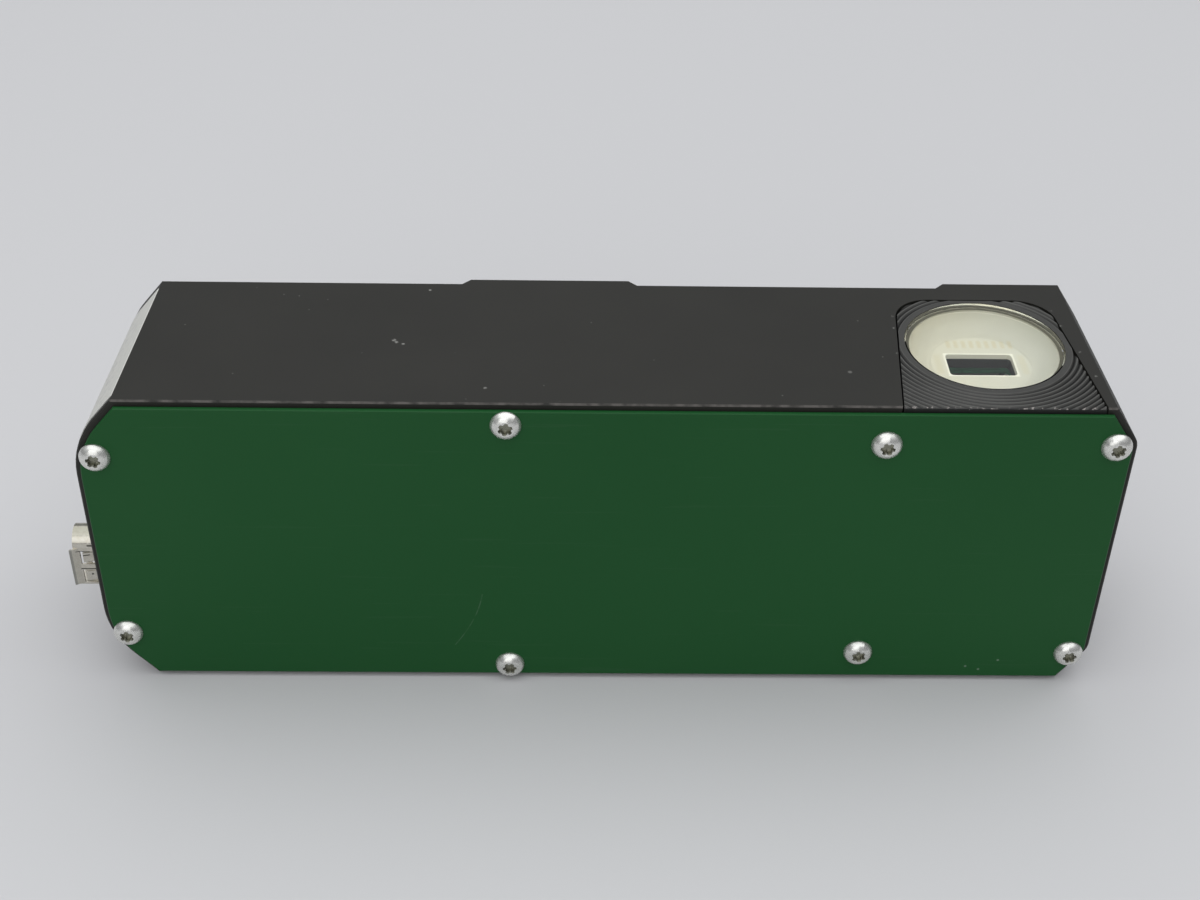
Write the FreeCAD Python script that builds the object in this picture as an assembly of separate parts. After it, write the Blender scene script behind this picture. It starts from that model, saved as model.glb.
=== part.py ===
# Machine vision camera with a built-in top light, in millimetres.
# X runs along the body, Y from the green cover to the mounting pads, Z up.
# The origin is at the middle of the length and depth, on the face the body rests on.
import FreeCAD, Part
import math
import os

# Body, a cast and machined aluminium tub that is open towards -Y. Its ends lean inwards by the
# draft. A chamfer's leg is its size along the body, and its drop is its size down the end.
length = 194.3
height = 66.2
depth = 41.2
wall = 4.0
back_wall = 4.3
end_draft = 2.1
left_leg = 8.5
left_drop = 10.0
left_blend = 18.6
right_leg = 5.15
right_drop = 7.65
right_blend = 4.2
back_blend = 2.6
edge_break = 0.3
fit_gap = 0.1
blind_end = 1.0
screw_end_gap = 0.2

# Cutting shapes run this far past a face, and faces are found within the tolerance
overrun = 1.0
tolerance = 0.001

# Mounting pads on the back, with four blind threaded holes
pad_rise = 1.7
middle_pad_start = -28.15
middle_pad_length = 34.6
end_pad_length = 31.45
mount_spacing_x = 90.0
mount_spacing_z = 40.0
mount_hole_radius = 1.65
mount_hole_depth = 5.0
mount_hole_mouth = 0.4

# Cover, its gasket and its eight screws
gasket_thickness = 0.25
gasket_inset = 1.9
cover_thickness = 0.8
cover_inset = 1.15
cover_edge = 0.15
screw_radius = 1.5
screw_length = 8.0
head_radius = 2.85
head_height = 1.65
head_rim = 0.35
head_crown_share = 0.55
dome_out = 0.14
dome_up = 0.22
lobe_count = 6
lobe_place_share = 1.04
lobe_size_share = 0.27
screw_turn = 17.0
recess_radius = 1.37
recess_depth = 0.9
boss_radius = 3.6
left_screw_inset = 4.35
left_screw_edge = 11.75
middle_screw_x = -18.2
middle_screw_edge = 3.9
block_screw_inset = 2.2
block_screw_edge = 7.6
right_screw_inset = 4.3
right_screw_edge = 7.7

# Light block, flush in the top wall and tapered in plan
block_from_end = 25.45
block_front_width = 37.2
block_back_width = 29.8
block_corner = 7.4
block_gap = 0.3
groove_pitch = 1.0
groove_width = 0.75
groove_depth = 0.45
groove_land = 1.2
block_bore_wall = 1.3
ear_reach = 17.0
ear_radius = 4.0
ear_thickness = 3.0
ear_drop = 17.7

# Window, diffuser dish and light board, stacked in the block's bore
window_radius = 15.0
window_from_front = 20.8
window_thickness = 2.2
window_edge = 0.2
seal_thickness = 0.3
seal_width = 0.9
dish_depth = 3.2
dish_floor = 1.0
dish_rim = 0.8
dish_skirt = 1.0
bowl_curve_share = 0.29
dish_flat_radius = 9.5
dish_height = 6.2
port_length = 12.8
port_width = 7.1
port_corner = 0.8
light_board_thickness = 1.6
light_board_margin = 0.5
ledge_width = 1.6
ledge_thickness = 1.7
led_length = 1.0
led_width = 0.8
led_height = 0.6
led_pitch = 1.5
led_long_row = 8
led_short_row = 4
led_offset = 1.7

# Optics bench, fold mirror, lens and image sensor
axis_drop = 22.2
bench_thickness = 3.8
bench_drop = 20.0
bench_start = 61.15
bench_edge = 1.2
bench_front_reach = 10.0
bench_overlap = 0.5
bench_screw_low = 3.9
bench_screw_clear = 6.0
mirror_length = 22.0
mirror_width = 19.0
mirror_thickness = 2.0
mirror_rest = 2.4
clip_thickness = 0.4
clip_width = 8.0
clip_lip = 1.6
pillow_right = 23.7
pillow_width = 10.0
pillow_wall = 4.0
lens_radius = 6.0
lens_head_radius = 7.0
lens_length = 22.0
lens_head_length = 6.0
lens_front = 15.2
lens_glass_radius = 4.2
lens_glass_depth = 1.2
lens_glass_sag = 1.1
lens_glass_edge = 1.0
lens_bore_radius = 3.4
lock_screw_radius = 1.25
post_radius = 2.4
post_inset = 3.2
sensor_board_width = 24.0
sensor_board_height = 30.0
board_thickness = 1.6
sensor_side = 10.0
sensor_height = 1.5
sensor_glass_side = 7.0
sensor_glass_height = 0.5
sensor_gap = 2.5

# Main board, its pillars and what is soldered on it
board_edge_gap = 0.5
board_margin = 4.2
board_right_gap = 15.0
board_notch = 4.6
notch_gap = 0.5
board_pillar_radius = 3.5
board_pillar_inset_x = 8.5
board_pillar_inset_z = 4.0
chip_side = 17.0
chip_height = 2.2
chip_share = 0.616
thermal_pad_height = 1.0
thermal_pad_margin = 0.5
memory_length = 11.0
memory_width = 8.0
memory_height = 1.1
memory_pitch = 13.0
capacitor_radius = 3.15
capacitor_height = 7.7
capacitor_base = 1.2
capacitor_pitch = 9.0
capacitor_count = 3
capacitor_margin = 0.15
memory_clear = 4.5
capacitor_from_top = 14.0
inductor_side = 7.0
inductor_height = 3.5
inductor_corner = 1.2
inductor_count = 2
inductor_pitch = 11.0
inductor_from_foot = 14.0
header_length = 12.0
header_width = 4.0
header_height = 2.6
header_from_right = 6.0
ribbon_seat = 2.0
plug_side = 5.0
plug_height = 4.0
main_plug_gap = 1.0
light_plug_x = 6.0
light_plug_y = 7.1
small_screw_radius = 1.25
small_head_radius = 2.3
small_head_height = 1.6
small_socket_radius = 0.9
small_socket_depth = 1.0
pillar_hole_depth = 7.0
pillar_screw_reach = 6.0

# Flat ribbon to the sensor board and two-core lead to the light board
ribbon_width = 10.0
ribbon_thickness = 0.3
ribbon_bend = 4.0
lead_radius = 0.9
lead_clear = 3.5
lead_bend_share = 0.45
lead_straight_share = 0.12
lead_out_share = 0.28
lead_out_drop = 1.5
lead_in_share = 0.7
lead_in_drop = 3.9

# Data socket on the left end
socket_from_front = 6.5
socket_low = 17.2
socket_span = 12.4
socket_thickness = 6.2
socket_sheet = 0.4
socket_foot = 0.6
crown_flat = 0.01
socket_reach = 5.95
flare_root = 1.0
flare_past_mouth = 0.6
flare_spread = 0.75
socket_inner_length = 10.3
socket_clearance = 1.0
spring_width = 2.2
spring_length = 5.0
spring_slot = 0.5
spring_bow = 0.45
spring_pitch = 4.6
spring_from_mouth = 1.2
spring_root = 0.2
tongue_recess = 4.5
tongue_span = 7.2
tongue_thickness = 2.2
insulator_length = 6.5
contact_from_tip = 0.4
contacts_a_side = 3
contact_width = 0.9
contact_thickness = 0.25
contact_pitch = 2.2
tail_gap = 1.0
tail_pitch = 1.6
leg_width = 1.4
leg_extra = 0.7
leg_inset = 0.6

# Blank label over the upper left corner
label_thickness = 0.12
label_low = 40.0
label_front = 1.5
label_length = 37.0
label_crease_gap = 0.05

# Planes and centres that follow from the sizes above
left = -length / 2
right = length / 2
front = -depth / 2
back = depth / 2
inner_back = back - back_wall
pad_back = back + pad_rise
draft_slope = math.tan(math.radians(end_draft))
ear_front = inner_back - ear_thickness
ear_z = height - ear_drop
wall_screw_reach = back_wall - blind_end - screw_end_gap
cover_back = front - gasket_thickness
cover_front = cover_back - cover_thickness
block_x = right - block_from_end
window_y = front + window_from_front
block_back = inner_back - block_gap
seal_top = height - window_thickness
dish_top = seal_top - seal_thickness
dish_bottom = dish_top - dish_height
light_board_low = dish_bottom - light_board_thickness
block_low = light_board_low - ledge_thickness
bore_radius = window_radius + fit_gap
skirt_radius = bore_radius + block_bore_wall
axis_z = height - axis_drop
bench_low = axis_z - bench_drop
bench_face = inner_back - bench_thickness
bench_left = right - bench_start
bench_right = block_x + mirror_length / 2 + 2 * (small_head_radius + bench_edge)
pillow_x = block_x - pillow_right
lens_x = block_x - lens_front
sensor_front = lens_x - lens_length - sensor_gap
sensor_board_x = sensor_front - sensor_glass_height - sensor_height
post_length = pillow_x - pillow_width - sensor_board_x
board_front = front + socket_from_front + socket_thickness
board_back = board_front + board_thickness
board_left = left + wall + board_edge_gap
board_right = sensor_board_x - board_right_gap
board_low = wall + board_margin
board_high = height - wall - board_margin
socket_mouth = left - socket_reach
socket_inner = socket_mouth + socket_reach + socket_inner_length
socket_middle_y = board_front - socket_thickness / 2
socket_round = socket_thickness / 2
socket_middle_z = socket_low + socket_span / 2
spring_tip = socket_mouth + spring_from_mouth
spring_end = spring_tip + spring_length
ribbon_header_face = board_right - header_from_right
mount_x = middle_pad_start + middle_pad_length / 2
mount_z = height / 2 - mount_spacing_z / 2

UP = FreeCAD.Vector(0, 0, 1)
ALONG = FreeCAD.Vector(1, 0, 0)
BACKWARD = FreeCAD.Vector(0, 1, 0)


def point(x, y, z):
    return FreeCAD.Vector(x, y, z)


def unit(vector):
    return vector * (1 / vector.Length)


def rounded_wire(corners, radii):
    """Closed wire through the corners, with each corner rounded by its own radius."""
    count = len(corners)
    arcs = []
    for index in range(count):
        corner = corners[index]
        before = unit(corners[index - 1] - corner)
        after = unit(corners[(index + 1) % count] - corner)
        radius = radii[index]
        if radius <= 0:
            arcs.append((corner, None, corner))
            continue
        half = before.getAngle(after) / 2
        reach = radius / math.tan(half)
        inward = unit(before + after)
        middle = corner + inward * (radius / math.sin(half) - radius)
        arcs.append((corner + before * reach, middle, corner + after * reach))
    edges = []
    for index in range(count):
        start, middle, end = arcs[index]
        if middle is not None:
            edges.append(Part.Arc(start, middle, end).toShape())
        following = arcs[(index + 1) % count][0]
        if end.distanceToPoint(following) > 1e-6:
            edges.append(Part.LineSegment(end, following).toShape())
    return Part.Wire(edges)


def prism(wire, direction):
    return Part.Face(wire).extrude(direction)


def box(low_x, low_y, low_z, high_x, high_y, high_z):
    corner = point(low_x, low_y, low_z)
    return Part.makeBox(high_x - low_x, high_y - low_y, high_z - low_z, corner)


def rod(x, y, z, radius, reach, direction):
    return Part.makeCylinder(radius, reach, point(x, y, z), direction)


def join(first, others):
    return first.fuse(others).removeSplitter()


def cut_corner(leg, drop, inset):
    """Leg and drop of a chamfer once its outline has moved inwards by the inset."""
    shift = inset * math.sqrt(1 / leg**2 + 1 / drop**2)
    return leg * (1 + shift - inset / drop) - inset, drop * (1 + shift - inset / leg) - inset


def body_outline(inset, y):
    """The body's front outline at depth y, moved inwards by the inset."""
    left_x, left_z = cut_corner(left_leg, left_drop, inset)
    right_x, right_z = cut_corner(right_leg, right_drop, inset)
    low = inset
    high = height - inset
    left_side = left + inset
    right_side = right - inset
    corners = [
        point(left_side + left_x, y, low),
        point(right_side - right_x, y, low),
        point(right_side, y, low + right_z),
        point(right_side, y, high - right_z),
        point(right_side - right_x, y, high),
        point(left_side + left_x, y, high),
        point(left_side, y, high - left_z),
        point(left_side, y, low + left_z),
    ]
    left_round = left_blend - inset
    right_round = max(right_blend - inset, edge_break)
    radii = [0, 0, right_round, right_round, 0, 0, left_round, left_round]
    return rounded_wire(corners, radii)


def drafted_body(inset):
    """The outline carried to the pads' face, with both ends leaning inwards by the draft."""
    reach = pad_back - front
    outline = body_outline(inset, front)
    left_end = prism(outline, point(draft_slope * reach, reach, 0))
    right_end = prism(outline, point(-draft_slope * reach, reach, 0))
    return left_end.common(right_end)


def plan_outline():
    """The body seen from above, with its two raised pads and rounded back corners."""
    middle_end = middle_pad_start + middle_pad_length
    end_start = right - end_pad_length
    corners = [
        point(left, front, 0),
        point(right, front, 0),
        point(right - draft_slope * (pad_back - front), pad_back, 0),
        point(end_start + pad_rise, pad_back, 0),
        point(end_start, back, 0),
        point(middle_end, back, 0),
        point(middle_end - pad_rise, pad_back, 0),
        point(middle_pad_start + pad_rise, pad_back, 0),
        point(middle_pad_start, back, 0),
        point(left + draft_slope * depth, back, 0),
    ]
    radii = [0, 0, back_blend, 0, 0, 0, 0, 0, 0, back_blend]
    return rounded_wire(corners, radii)


def cover_screw_places():
    """Middle points of the eight cover screws, in pairs from left to right."""
    columns = [
        (left + left_screw_inset, left_screw_edge),
        (middle_screw_x, middle_screw_edge),
        (block_x - block_front_width / 2 - block_screw_inset, block_screw_edge),
        (right - right_screw_inset, right_screw_edge),
    ]
    places = []
    for x, edge in columns:
        places.append((x, edge))
        places.append((x, height - edge))
    return places


def boss_to_wall(x, z, radius, near, far):
    """A round boss between two depths, with a web that runs straight to the nearer wall."""
    boss = rod(x, near, z, radius, far - near, BACKWARD)
    low = min(z, wall / 2)
    high = z
    if z > height / 2:
        low = z
        high = max(z, height - wall / 2)
    web = box(x - radius, near, low, x + radius, far, high)
    return boss.fuse(web)


def block_plan(gap, z, front_reach):
    """The light block's tapered plan, moved inwards by the gap on its sides and back."""
    slope = (block_front_width - block_back_width) / 2 / (block_back - front)
    half_front = block_front_width / 2 - gap + slope * front_reach
    half_back = block_back_width / 2 - gap
    back_line = block_back + block_gap - gap
    corners = [
        point(block_x - half_front, front - front_reach, z),
        point(block_x + half_front, front - front_reach, z),
        point(block_x + half_back, back_line, z),
        point(block_x - half_back, back_line, z),
    ]
    return rounded_wire(corners, [0, 0, block_corner, block_corner])


def socket_profile(offset, x):
    """The socket's section: flat at the foot and full round at the top."""
    half = socket_round + offset
    low = socket_low - offset
    high = socket_low + socket_span + offset
    corners = [
        point(x, socket_middle_y - half, low),
        point(x, socket_middle_y + half, low),
        point(x, socket_middle_y + half, high),
        point(x, socket_middle_y - half, high),
    ]
    crown = half - crown_flat
    return rounded_wire(corners, [socket_foot, socket_foot, crown, crown])


def main_board_pillars():
    """Places of the six pillars that carry the main board."""
    columns = [
        board_left + board_pillar_inset_x,
        (board_left + board_right) / 2,
        board_right - board_pillar_radius - board_edge_gap,
    ]
    places = []
    for x in columns:
        places.append((x, board_low + board_pillar_inset_z))
        places.append((x, board_high - board_pillar_inset_z))
    return places


def chip_centre():
    return board_left + chip_share * (board_right - board_left), height / 2


def bench_screw_places():
    low_row = bench_low + bench_screw_low
    high_row = axis_z - mirror_thickness - small_head_radius
    first = pillow_x + bench_screw_clear
    second = bench_right - small_head_radius - bench_edge
    return [(first, low_row), (first, high_row), (second, low_row), (second, high_row)]


def ear_places():
    return [(block_x - ear_reach, ear_z), (block_x + ear_reach, ear_z)]


def mount_places():
    places = []
    for x in (mount_x, mount_x + mount_spacing_x):
        places.append((x, mount_z))
        places.append((x, mount_z + mount_spacing_z))
    return places


def housing():
    """Cast tub with bosses, pillars and pads, machined for its cavity and two openings."""
    outer = drafted_body(0).common(prism(plan_outline(), UP * height)).removeSplitter()
    rim_edges = []
    for edge in outer.Edges:
        if edge.BoundBox.YMax < front + tolerance:
            rim_edges.append(edge)
    outer = outer.makeChamfer(edge_break, rim_edges)
    cavity = prism(body_outline(wall, front - overrun), BACKWARD * (depth - back_wall + overrun))
    chip_x, chip_z = chip_centre()
    pedestal_front = board_back + chip_height + thermal_pad_height
    half_chip = chip_side / 2
    solids = []
    for x, z in cover_screw_places():
        solids.append(boss_to_wall(x, z, boss_radius, front, inner_back).common(outer))
    for x, z in main_board_pillars():
        solids.append(rod(x, board_back, z, board_pillar_radius,
                          inner_back - board_back, BACKWARD))
    solids.append(box(chip_x - half_chip, pedestal_front, chip_z - half_chip,
                      chip_x + half_chip, inner_back, chip_z + half_chip))
    tub = join(outer.cut(cavity), solids)
    cuts = []
    for x, z in cover_screw_places():
        cuts.append(rod(x, front - overrun, z, screw_radius + fit_gap,
                        screw_length + overrun, BACKWARD))
    for x, z in main_board_pillars():
        cuts.append(rod(x, board_back - overrun, z, small_screw_radius + fit_gap,
                        pillar_hole_depth + overrun, BACKWARD))
    for x, z in bench_screw_places() + ear_places():
        cuts.append(rod(x, inner_back - overrun, z, small_screw_radius + fit_gap,
                        back_wall - blind_end + overrun, BACKWARD))
    top_cut = block_plan(0, height - wall - boss_radius, overrun)
    cuts.append(prism(top_cut, UP * (wall + boss_radius + overrun)))
    cuts.append(prism(socket_profile(socket_clearance, left - overrun), ALONG * (wall + 2 * overrun)))
    for x, z in mount_places():
        cuts.append(rod(x, pad_back - mount_hole_depth, z, mount_hole_radius,
                        mount_hole_depth + overrun, BACKWARD))
        mouth = Part.makeCone(mount_hole_radius, mount_hole_radius + mount_hole_mouth, mount_hole_mouth,
                              point(x, pad_back - mount_hole_mouth, z), BACKWARD)
        cuts.append(mouth)
    return tub.cut(cuts)


def side_cover():
    """Painted sheet cover with eight clearance holes and a softened front edge."""
    sheet = prism(body_outline(cover_inset, cover_back), -BACKWARD * cover_thickness)
    face_edges = []
    for edge in sheet.Edges:
        if edge.BoundBox.YMax < cover_front + tolerance:
            face_edges.append(edge)
    sheet = sheet.makeChamfer(cover_edge, face_edges)
    holes = []
    for x, z in cover_screw_places():
        holes.append(rod(x, cover_front - overrun, z, screw_radius + 2 * fit_gap,
                         cover_thickness + 2 * overrun, BACKWARD))
    return sheet.cut(holes)


def cover_gasket():
    """Thin flat gasket that follows the rim and widens round each screw."""
    ring = prism(body_outline(gasket_inset, front), -BACKWARD * gasket_thickness)
    ring = ring.cut(prism(body_outline(wall, front + overrun),
                          -BACKWARD * (gasket_thickness + 2 * overrun)))
    field = prism(body_outline(gasket_inset, front), -BACKWARD * gasket_thickness)
    lobes = []
    holes = []
    for x, z in cover_screw_places():
        lobe = boss_to_wall(x, z, boss_radius - fit_gap, cover_back, front)
        lobes.append(lobe.common(field))
        holes.append(rod(x, front + overrun, z, screw_radius + 2 * fit_gap,
                         gasket_thickness + 2 * overrun, -BACKWARD))
    return join(ring, lobes).cut(holes)


def star_recess(radius, reach):
    """Six-lobed driver recess, made from a round hole with posts left standing between the lobes."""
    recess = Part.makeCylinder(radius, reach)
    posts = []
    place = lobe_place_share * radius
    for index in range(lobe_count):
        angle = 2 * math.pi * index / lobe_count
        corner = point(place * math.cos(angle), place * math.sin(angle), 0)
        posts.append(Part.makeCylinder(lobe_size_share * radius, reach, corner))
    return recess.cut(posts)


def button_screw(turn):
    """Domed screw along +Z, seated at Z = 0."""
    crown = head_radius * head_crown_share
    middle = point((head_radius + crown) / 2 + dome_out, 0, (head_rim + head_height) / 2 + dome_up)
    edges = [
        Part.LineSegment(point(0, 0, -screw_length), point(screw_radius, 0, -screw_length)).toShape(),
        Part.LineSegment(point(screw_radius, 0, -screw_length), point(screw_radius, 0, 0)).toShape(),
        Part.LineSegment(point(screw_radius, 0, 0), point(head_radius, 0, 0)).toShape(),
        Part.LineSegment(point(head_radius, 0, 0), point(head_radius, 0, head_rim)).toShape(),
        Part.Arc(point(head_radius, 0, head_rim), middle, point(crown, 0, head_height)).toShape(),
        Part.LineSegment(point(crown, 0, head_height), point(0, 0, head_height)).toShape(),
        Part.LineSegment(point(0, 0, head_height), point(0, 0, -screw_length)).toShape(),
    ]
    blank = Part.Face(Part.Wire(edges)).revolve(point(0, 0, 0), UP, 360)
    recess = star_recess(recess_radius, recess_depth + overrun)
    recess.translate(point(0, 0, head_height - recess_depth))
    screw = blank.cut(recess)
    screw.rotate(point(0, 0, 0), UP, turn)
    return screw


def cover_screws():
    """Eight stainless screws that hold the cover, each stopped at its own angle."""
    screws = []
    for index, (x, z) in enumerate(cover_screw_places()):
        screw = button_screw(screw_turn * index)
        screw.rotate(point(0, 0, 0), ALONG, 90)
        screw.translate(point(x, cover_front, z))
        screws.append(screw)
    return Part.makeCompound(screws)


def small_screw(x, y, z, direction, reach):
    """Cheese-head screw whose head seats at the point and whose shank runs along the direction."""
    shank = rod(x, y, z, small_screw_radius, reach, direction)
    head = rod(x, y, z, small_head_radius, small_head_height, -direction)
    screw = shank.fuse(head)
    top = point(x, y, z) - direction * small_head_height
    socket = Part.makeCylinder(small_socket_radius, small_socket_depth, top, direction)
    return screw.cut(socket).removeSplitter()


def groove_rings():
    """Round V grooves about the window, out to the block's far corners."""
    start = window_radius + groove_land
    reach = math.hypot(block_front_width / 2, window_from_front)
    rings = []
    for index in range(int((reach - start) / groove_pitch) + 1):
        middle = start + groove_pitch * (index + 0.5)
        half = groove_width / 2
        corners = [
            point(block_x + middle - half, window_y, height),
            point(block_x + middle - half, window_y, height + overrun),
            point(block_x + middle + half, window_y, height + overrun),
            point(block_x + middle + half, window_y, height),
            point(block_x + middle, window_y, height - groove_depth),
        ]
        face = Part.Face(Part.makePolygon(corners + [corners[0]]))
        rings.append(face.revolve(point(block_x, window_y, 0), UP, 360))
    return rings


def light_block():
    """Tapered insert with round grooves on top, a stepped bore and two screw ears at the back."""
    slab = prism(block_plan(block_gap, height - wall, 0), UP * wall)
    front_edges = []
    for edge in slab.Edges:
        box_of_edge = edge.BoundBox
        if box_of_edge.YMax < front + tolerance and box_of_edge.ZMin > height - tolerance:
            front_edges.append(edge)
    slab = slab.makeChamfer(edge_break, front_edges)
    skirt = rod(block_x, window_y, block_low, skirt_radius, height - wall - block_low, UP)
    skirt = skirt.common(box(left, front, 0, right, block_back, height))
    web_half = skirt_radius - block_bore_wall
    web = box(block_x - web_half, ear_front, ear_z - ear_radius,
              block_x + web_half, block_back, block_low + ledge_thickness)
    web = web.cut(rod(block_x, window_y, block_low, bore_radius, ledge_thickness + overrun, UP))
    bar = box(block_x - ear_reach, ear_front, ear_z - ear_radius,
              block_x + ear_reach, inner_back, ear_z + ear_radius)
    ears = [web, bar]
    for x, z in ear_places():
        ears.append(rod(x, ear_front, z, ear_radius, ear_thickness, BACKWARD))
    block = join(slab, [skirt] + ears)
    ledge_radius = bore_radius - ledge_width
    cuts = [
        rod(block_x, window_y, light_board_low, bore_radius, height, UP),
        rod(block_x, window_y, block_low - overrun, ledge_radius, height, UP),
    ]
    for x, z in ear_places():
        cuts.append(rod(x, ear_front - overrun, z, small_screw_radius + 2 * fit_gap,
                        ear_thickness + 2 * overrun, BACKWARD))
    return block.cut(cuts + groove_rings())


def disc(radius, low, thickness):
    return rod(block_x, window_y, low, radius, thickness, UP)


def window_disc():
    """Clear scratch-resistant disc with softened edges, flush with the block."""
    glass = disc(window_radius, seal_top, window_thickness)
    rims = []
    for edge in glass.Edges:
        if edge.BoundBox.ZLength < tolerance:
            rims.append(edge)
    return glass.makeChamfer(window_edge, rims)


def window_seal():
    ring = disc(window_radius, dish_top, seal_thickness)
    return ring.cut(disc(window_radius - seal_width, dish_top - overrun, seal_thickness + 2 * overrun))


def port_wire(margin, z):
    """The rounded rectangular port that the lens looks through."""
    half_length = port_length / 2 + margin
    half_width = port_width / 2 + margin
    corners = [
        point(block_x - half_length, window_y - half_width, z),
        point(block_x + half_length, window_y - half_width, z),
        point(block_x + half_length, window_y + half_width, z),
        point(block_x - half_length, window_y + half_width, z),
    ]
    corner = port_corner + margin
    return rounded_wire(corners, [corner, corner, corner, corner])


def diffuser_dish():
    """Opal dish: a curved bowl inside a drum that stands on the light board."""
    rim = window_radius - dish_rim
    floor = dish_top - dish_depth
    under = floor - dish_floor
    x = block_x
    y = window_y
    bowl_x = x + rim - (rim - dish_flat_radius) * bowl_curve_share
    bowl_middle = point(bowl_x, y, floor + dish_depth * bowl_curve_share)
    under_rim = window_radius - dish_skirt
    edges = [
        Part.LineSegment(point(x, y, floor), point(x + dish_flat_radius, y, floor)).toShape(),
        Part.Arc(point(x + dish_flat_radius, y, floor), bowl_middle,
                 point(x + rim, y, dish_top)).toShape(),
        Part.LineSegment(point(x + rim, y, dish_top), point(x + window_radius, y, dish_top)).toShape(),
        Part.LineSegment(point(x + window_radius, y, dish_top),
                         point(x + window_radius, y, dish_bottom)).toShape(),
        Part.LineSegment(point(x + window_radius, y, dish_bottom),
                         point(x + under_rim, y, dish_bottom)).toShape(),
        Part.LineSegment(point(x + under_rim, y, dish_bottom), point(x + under_rim, y, under)).toShape(),
        Part.LineSegment(point(x + under_rim, y, under), point(x, y, under)).toShape(),
        Part.LineSegment(point(x, y, under), point(x, y, floor)).toShape(),
    ]
    bowl = Part.Face(Part.Wire(edges)).revolve(point(x, y, 0), UP, 360)
    return bowl.cut(prism(port_wire(0, under - overrun), UP * (dish_floor + 2 * overrun)))


def light_board():
    """Round circuit board under the dish, with a port a little wider than the dish's."""
    board = disc(window_radius - fit_gap, light_board_low, light_board_thickness)
    opening = prism(port_wire(light_board_margin, light_board_low - overrun),
                    UP * (light_board_thickness + 2 * overrun))
    return board.cut(opening)


def light_leds():
    """Small light-emitting chips in four rows round the port."""
    side_y = port_width / 2 + led_offset
    side_x = port_length / 2 + led_offset
    chips = []
    for index in range(led_long_row):
        x = block_x + (index - (led_long_row - 1) / 2) * led_pitch
        for y in (window_y - side_y, window_y + side_y):
            chips.append(box(x - led_length / 2, y - led_width / 2, dish_bottom,
                             x + led_length / 2, y + led_width / 2, dish_bottom + led_height))
    for index in range(led_short_row):
        y = window_y + (index - (led_short_row - 1) / 2) * led_pitch
        for x in (block_x - side_x, block_x + side_x):
            chips.append(box(x - led_width / 2, y - led_length / 2, dish_bottom,
                             x + led_width / 2, y + led_length / 2, dish_bottom + led_height))
    return Part.makeCompound(chips)


def block_screws():
    screws = []
    for x, z in ear_places():
        screws.append(small_screw(x, ear_front, z, BACKWARD, ear_thickness + wall_screw_reach))
    return Part.makeCompound(screws)


def sloped(along, behind, y):
    """A point on the mirror's slope: along it from its middle, and behind its face."""
    root = math.sqrt(0.5)
    return point(block_x + (along + behind) * root, y, axis_z + (along - behind) * root)


def post_places():
    """Axes of the four posts that carry the sensor board, and of their screws."""
    reach = sensor_board_width / 2 - post_inset
    places = []
    for y in (window_y - reach, window_y + reach):
        for z in (axis_z - reach, axis_z + reach):
            places.append((y, z))
    return places


def optics_bench():
    """Cast bench on the back wall: a lens pillow block, a mirror wedge and four sensor posts."""
    plate_top = axis_z - mirror_thickness / 2
    plate = box(bench_left, bench_face, bench_low, bench_right, inner_back, plate_top)
    bench_front = window_y - bench_front_reach
    pillow_left = pillow_x - pillow_width
    pillow_half = lens_radius + pillow_wall
    pillow = box(pillow_left, bench_front, axis_z - pillow_half,
                 pillow_x, bench_face + bench_overlap, axis_z + pillow_half)
    foot = box(pillow_left, window_y, bench_low,
               pillow_x, bench_face + bench_overlap, axis_z - pillow_half + bench_overlap)
    half_mirror = mirror_length / 2
    seat = mirror_thickness
    wedge_corners = [
        sloped(-half_mirror, seat, bench_front),
        sloped(half_mirror, seat, bench_front),
        sloped(half_mirror, seat + mirror_rest, bench_front),
        point(block_x + half_mirror, bench_front, axis_z - half_mirror),
        sloped(-half_mirror, seat + mirror_rest, bench_front),
    ]
    wedge_reach = bench_face + bench_overlap - bench_front
    wedge = prism(Part.makePolygon(wedge_corners + [wedge_corners[0]]), BACKWARD * wedge_reach)
    posts = []
    for y, z in post_places():
        posts.append(rod(pillow_left + bench_overlap, y, z, post_radius,
                         post_length + bench_overlap, -ALONG))
    bench = join(plate, [pillow, foot, wedge] + posts)
    cuts = [rod(pillow_left - overrun, window_y, axis_z, lens_radius + fit_gap,
                pillow_width + 2 * overrun, ALONG)]
    lock_gap = lock_screw_radius + fit_gap
    cuts.append(rod(pillow_left + pillow_width / 2, bench_front - overrun, axis_z, lock_gap,
                    pillow_wall + 2 * overrun, BACKWARD))
    for y, z in post_places():
        cuts.append(rod(sensor_board_x - overrun, y, z, small_screw_radius + fit_gap,
                        post_length - blind_end + overrun, ALONG))
    for x, z in bench_screw_places():
        cuts.append(rod(x, bench_face - overrun, z, small_screw_radius + 2 * fit_gap,
                        bench_thickness + 2 * overrun, BACKWARD))
    return bench.cut(cuts)


def fold_mirror():
    """Plane mirror at 45 degrees that turns the view from the window to the lens."""
    half = mirror_length / 2
    low_y = window_y - mirror_width / 2
    corners = [
        sloped(-half, 0, low_y),
        sloped(half, 0, low_y),
        sloped(half, mirror_thickness, low_y),
        sloped(-half, mirror_thickness, low_y),
    ]
    return prism(Part.makePolygon(corners + [corners[0]]), BACKWARD * mirror_width)


def mirror_clip():
    """Sheet spring that hooks over the mirror's upper edge and grips the wedge behind it."""
    half = mirror_length / 2
    low_y = window_y - clip_width / 2
    outside = half + clip_thickness
    grip = mirror_thickness + mirror_rest
    corners = [
        sloped(half - clip_lip, -clip_thickness, low_y),
        sloped(outside, -clip_thickness, low_y),
        sloped(outside, grip, low_y),
        sloped(half, grip, low_y),
        sloped(half, 0, low_y),
        sloped(half - clip_lip, 0, low_y),
    ]
    return prism(Part.makePolygon(corners + [corners[0]]), BACKWARD * clip_width)


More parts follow.
